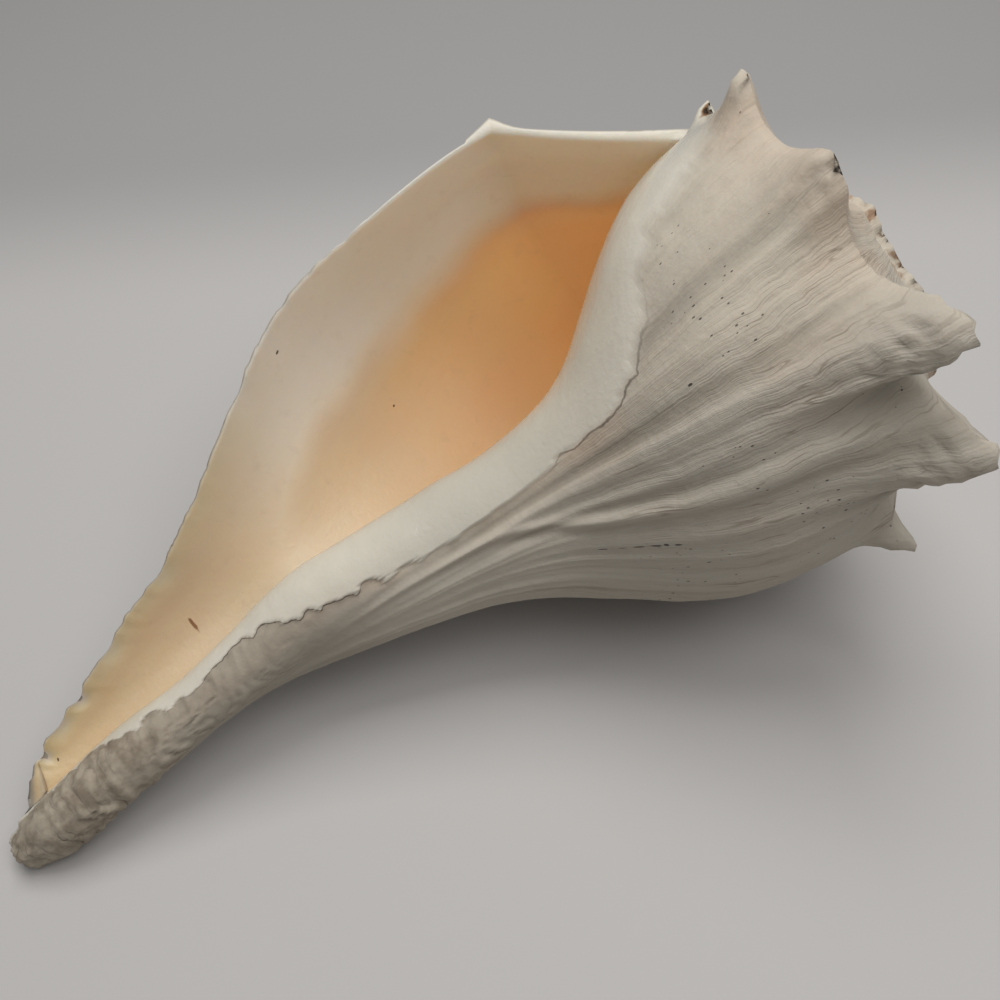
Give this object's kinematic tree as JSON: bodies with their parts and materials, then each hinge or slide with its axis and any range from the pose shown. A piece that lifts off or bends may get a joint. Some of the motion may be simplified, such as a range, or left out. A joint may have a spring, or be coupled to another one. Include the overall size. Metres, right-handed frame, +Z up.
{
  "type": "conch shell",
  "caption": "Left-handed knobbed conch shell with a low spire, a wide flared mouth and a long tapering canal, lying mouth up.",
  "frame": {"origin": "centre of the bounding box, at the floor the shell rests on", "axes": "+X toward the spire, -X toward the tip of the canal, +Y toward the outer lip, +Z up as the shell rests with its mouth up"},
  "size_m": [0.28, 0.167, 0.1496],
  "materials": {
    "shell": "chalky, worn off-white outside with grey growth lines; smooth creamy glaze along the pillar, peach-orange inside the mouth"
  },
  "bodies": {
    "root": {"shell": "shell"}
  },
  "joints": []
}
